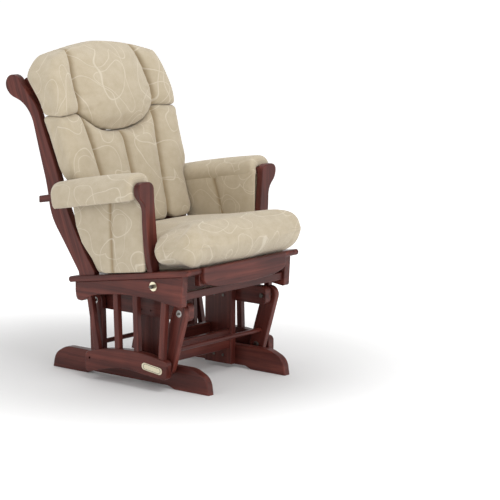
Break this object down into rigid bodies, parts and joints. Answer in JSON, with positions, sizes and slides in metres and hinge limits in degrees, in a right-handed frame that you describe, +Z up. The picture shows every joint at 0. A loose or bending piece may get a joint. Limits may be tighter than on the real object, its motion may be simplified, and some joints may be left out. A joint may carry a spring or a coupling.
{
  "type": "glider nursery chair",
  "caption": "Cushioned wooden glider chair whose high-backed seat hangs on swing arms from a low runner base and glides fore and aft.",
  "frame": {"origin": "on the floor under the middle of the chair's bounding box", "axes": "+Z up, the sitter faces -Y, +X is the sitter's left"},
  "size_m": [0.688, 0.8167, 1.0491],
  "materials": {
    "cherry_wood": "dark cherry stain under satin lacquer",
    "cream_fabric": "cream woven upholstery with a pale looping pattern",
    "zinc_steel": "zinc-plated steel",
    "bearing_steel": "ground bearing steel",
    "nylon": "black nylon",
    "satin_brass": "pale satin brass"
  },
  "bodies": {
    "base": {"base_foot_left": "cherry_wood", "base_foot_right": "cherry_wood", "base_post_left": "cherry_wood", "base_post_right": "cherry_wood", "base_rail_left": "cherry_wood", "base_rail_right": "cherry_wood", "front_stretcher": "cherry_wood", "rear_stretcher": "cherry_wood", "base_screws": "zinc_steel", "upper_pivot_bolts": "zinc_steel", "upper_pivot_spacers": "nylon"},
    "rear_swing": {"rear_link_left": "cherry_wood", "rear_link_right": "cherry_wood", "rear_crossbar": "cherry_wood", "rear_link_bearings": "bearing_steel"},
    "front_swing": {"front_link_left": "cherry_wood", "front_link_right": "cherry_wood", "front_crossbar": "cherry_wood", "front_link_bearings": "bearing_steel"},
    "seat": {"seat_side_rail_left": "cherry_wood", "seat_side_rail_right": "cherry_wood", "seat_plank_left": "cherry_wood", "seat_plank_right": "cherry_wood", "lower_side_rail_left": "cherry_wood", "lower_side_rail_right": "cherry_wood", "spindles_left": "cherry_wood", "spindles_right": "cherry_wood", "back_post_left": "cherry_wood", "back_post_right": "cherry_wood", "arm_post_left": "cherry_wood", "arm_post_right": "cherry_wood", "arm_board_left": "cherry_wood", "arm_board_right": "cherry_wood", "lower_pivot_bolts": "zinc_steel", "lower_pivot_spacers": "nylon", "front_apron": "cherry_wood", "front_cross_rail": "cherry_wood", "seat_front_rail": "cherry_wood", "seat_rear_rail": "cherry_wood", "seat_springs": "zinc_steel", "crest_rail": "cherry_wood", "back_lower_rail": "cherry_wood", "back_slats": "cherry_wood", "lock_plate": "satin_brass", "blank_plate": "satin_brass", "seat_cushion": "cream_fabric", "back_cushion": "cream_fabric", "headrest_cushion": "cream_fabric", "arm_pad_left": "cream_fabric", "arm_pad_right": "cream_fabric", "arm_outer_panel_left": "cream_fabric", "arm_outer_panel_right": "cream_fabric", "arm_inner_panel_left": "cream_fabric", "arm_inner_panel_right": "cream_fabric"},
    "glide_lock": {"lock_knob": "satin_brass", "lock_cam": "zinc_steel"}
  },
  "joints": [
    {"name": "glide", "type": "hinge", "parent": "base", "child": "rear_swing", "pos_m": [0, 0.052, 0.25], "axis": [-1, 0, 0], "range_deg": [-8, 20]},
    {"name": "front_arm_swing", "type": "hinge", "parent": "base", "child": "front_swing", "pos_m": [0, -0.298, 0.25], "axis": [-1, 0, 0], "range_deg": [-9, 21]},
    {"name": "seat_tilt", "type": "hinge", "parent": "rear_swing", "child": "seat", "pos_m": [0, 0.04509, 0.07013], "axis": [-1, 0, 0], "range_deg": [-25, 11]},
    {"name": "lock_turn", "type": "hinge", "parent": "seat", "child": "glide_lock", "pos_m": [-0.267, -0.226, 0.332], "axis": [1, 0, 0], "range_deg": [-90, 0]}
  ],
  "couplings": [
    {"joint": "front_arm_swing", "follows": "glide", "ratio": 1.008},
    {"joint": "seat_tilt", "follows": "glide", "ratio": -1.198}
  ]
}
